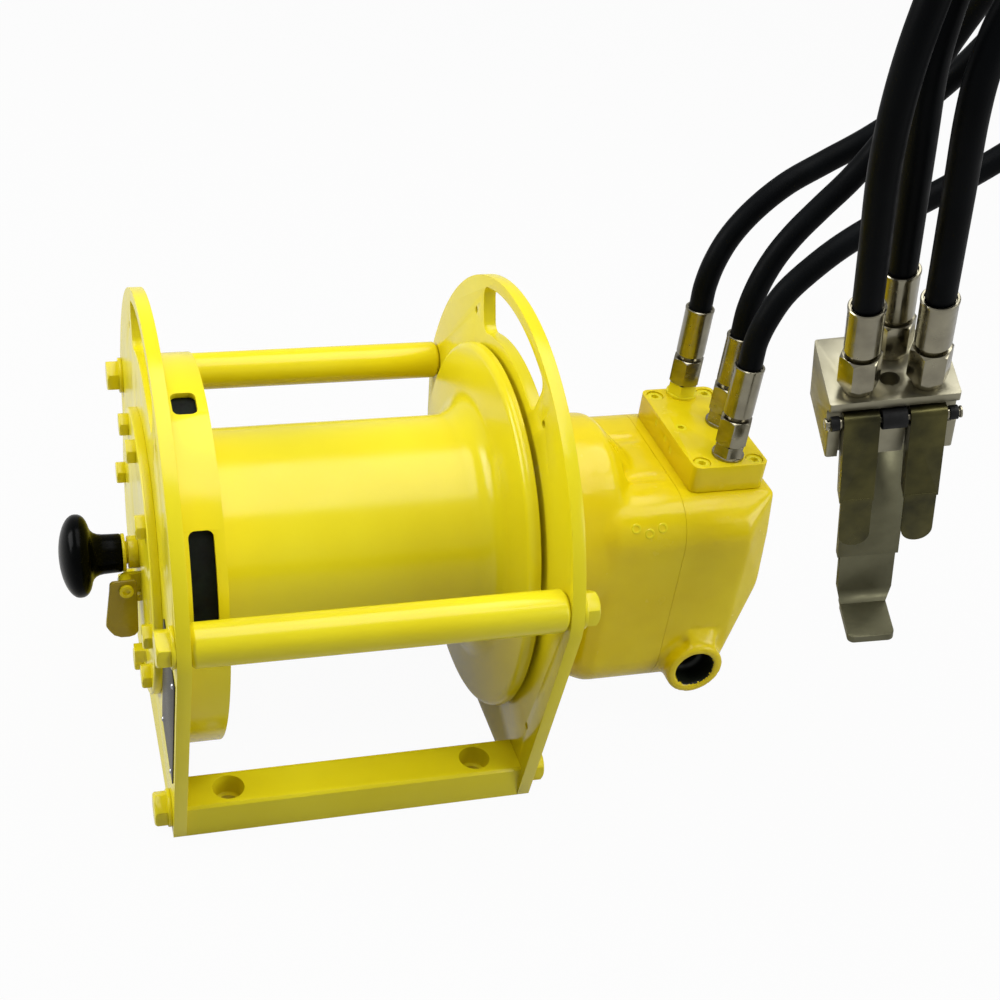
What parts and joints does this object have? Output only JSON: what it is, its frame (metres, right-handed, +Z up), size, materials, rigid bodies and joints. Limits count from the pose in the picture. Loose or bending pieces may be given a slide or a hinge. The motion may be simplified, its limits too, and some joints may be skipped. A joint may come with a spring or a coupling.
{
  "type": "air winch",
  "caption": "Pneumatic winch: rope drum between two side plates on base bars, brake and clutch knob at one end, air motor at the other, hand pendant on hoses.",
  "frame": {"origin": "centre of the mounting hole rectangle, on the underside of the base bars", "axes": "+X along the drum axis towards the air motor, +Y away from the side with the air port, +Z up"},
  "size_m": [0.7537, 0.4608, 0.7664],
  "materials": {
    "paint": "gloss",
    "bolt_paint": "gloss",
    "lining": "matt",
    "strap": "satin",
    "tag": "satin",
    "rivet": "satin",
    "steel": "machined",
    "screw": "black oxide",
    "cast": "machined",
    "nickel": "plated",
    "hose": "satin",
    "block": "satin plated",
    "olive": "passivated",
    "bush": "matt",
    "vane": "matt",
    "knob": "gloss"
  },
  "bodies": {
    "frame": {"brake_side_plate": "paint", "motor_side_plate": "paint", "tie_bar_front": "paint", "tie_bar_rear": "paint", "base_bar_front": "paint", "base_bar_rear": "paint", "tie_bolts": "bolt_paint", "base_bolts": "bolt_paint", "frame_washers": "bolt_paint", "brake_guard": "paint", "brake_strap": "strap", "brake_lining": "lining", "brake_anchor": "steel", "brake_cover": "paint", "cover_bolts": "bolt_paint", "clutch_collar": "paint", "latch_bracket": "paint", "latch_screw": "bolt_paint", "data_plate": "tag", "data_plate_rivets": "rivet", "motor_housing": "paint", "motor_end_cover": "paint", "end_cover_screws": "bolt_paint", "motor_screws": "screw", "motor_cylinder": "cast", "motor_bearings": "steel", "gearbox_hub": "steel", "drum_bearings": "steel", "planet_carrier": "steel", "manifold_block": "paint", "manifold_screws": "screw", "small_plugs": "screw", "hose_adaptors": "nickel", "hose_nuts": "nickel", "hose_ferrules": "nickel", "pendant_adaptors": "nickel", "hose_a": "hose", "hose_b": "hose", "hose_c": "hose", "pendant_block": "block", "pendant_grip": "olive", "pivot_pin": "steel", "pivot_bushes": "bush"},
    "drum": {"drum": "paint", "ring_gear": "steel"},
    "rotor": {"rotor": "steel", "rotor_vanes": "vane", "motor_shaft": "steel", "sun_gear": "steel"},
    "planet_upper": {"planet_gear_upper": "steel"},
    "planet_rear": {"planet_gear_rear": "steel"},
    "planet_front": {"planet_gear_front": "steel"},
    "clutch": {"clutch_knob": "knob", "clutch_stem": "paint", "clutch_rod": "steel"},
    "latch": {"lock_latch": "paint"},
    "lever_left": {"lever_left": "olive"},
    "lever_right": {"lever_right": "olive"},
    "plunger_left": {"plunger_left": "steel"},
    "plunger_right": {"plunger_right": "steel"}
  },
  "joints": [
    {"name": "drum_spin", "type": "hinge", "parent": "frame", "child": "drum", "pos_m": [0, 0, 0.16], "axis": [1, 0, 0], "continuous": true},
    {"name": "rotor_spin", "type": "hinge", "parent": "frame", "child": "rotor", "pos_m": [0.2, 0, 0.16], "axis": [1, 0, 0], "continuous": true},
    {"name": "planet_upper_spin", "type": "hinge", "parent": "frame", "child": "planet_upper", "pos_m": [0.041, 0, 0.2032], "axis": [1, 0, 0], "continuous": true},
    {"name": "planet_rear_spin", "type": "hinge", "parent": "frame", "child": "planet_rear", "pos_m": [0.041, 0.03741, 0.1384], "axis": [1, 0, 0], "continuous": true},
    {"name": "planet_front_spin", "type": "hinge", "parent": "frame", "child": "planet_front", "pos_m": [0.041, -0.03741, 0.1384], "axis": [1, 0, 0], "continuous": true},
    {"name": "clutch_pull", "type": "slide", "parent": "frame", "child": "clutch", "axis": [-1, 0, 0], "range_m": [0, 0.015]},
    {"name": "latch_swing", "type": "hinge", "parent": "frame", "child": "latch", "pos_m": [-0.164, -0.0285, 0.146], "axis": [0, 1, 0], "range_deg": [0, 45]},
    {"name": "lever_left_press", "type": "hinge", "parent": "frame", "child": "lever_left", "pos_m": [0.30291, -0.21745, 0.38381], "axis": [0.936, -0.2737, 0.2215], "range_deg": [0, 7.5], "stiffness_Nm_per_rad": 1.2, "springref_deg": -5.73},
    {"name": "lever_right_press", "type": "hinge", "parent": "frame", "child": "lever_right", "pos_m": [0.34278, -0.22911, 0.39325], "axis": [0.936, -0.2737, 0.2215], "range_deg": [0, 7.5], "stiffness_Nm_per_rad": 1.2, "springref_deg": -5.73},
    {"name": "plunger_left_slide", "type": "slide", "parent": "frame", "child": "plunger_left", "axis": [0.2209, 0.9463, 0.2359], "range_m": [0, 0.003]},
    {"name": "plunger_right_slide", "type": "slide", "parent": "frame", "child": "plunger_right", "axis": [0.2209, 0.9463, 0.2359], "range_m": [0, 0.003]}
  ],
  "couplings": [
    {"joint": "rotor_spin", "follows": "drum_spin", "ratio": -5},
    {"joint": "planet_upper_spin", "follows": "drum_spin", "ratio": 2.5},
    {"joint": "planet_rear_spin", "follows": "drum_spin", "ratio": 2.5},
    {"joint": "planet_front_spin", "follows": "drum_spin", "ratio": 2.5},
    {"joint": "plunger_left_slide", "follows": "lever_left_press", "m_per_rad": 0.021},
    {"joint": "plunger_right_slide", "follows": "lever_right_press", "m_per_rad": 0.021}
  ]
}
